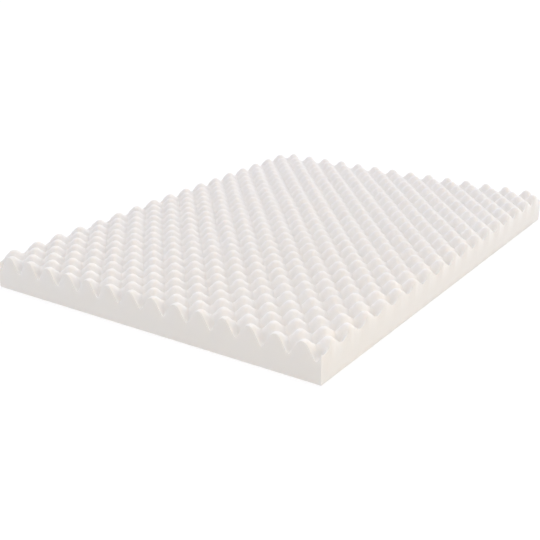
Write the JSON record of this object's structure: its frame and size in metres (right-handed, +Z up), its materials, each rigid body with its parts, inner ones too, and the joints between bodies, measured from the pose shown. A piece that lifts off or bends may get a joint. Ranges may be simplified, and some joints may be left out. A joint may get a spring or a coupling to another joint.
{
  "type": "egg crate foam pad",
  "caption": "Flat-based slab of white convoluted foam with straight cut sides and a top of staggered rounded domes and hollows, laid on a bed as a soft topper.",
  "frame": {"origin": "centre of the flat base", "axes": "+X across the pad, +Y along its length, +Z up from the base to the domes"},
  "size_m": [1.372, 1.905, 0.127],
  "materials": {
    "foam": "matte open-cell foam, white with a faint warm tint"
  },
  "bodies": {
    "root": {"foam_pad": "foam"}
  },
  "joints": []
}
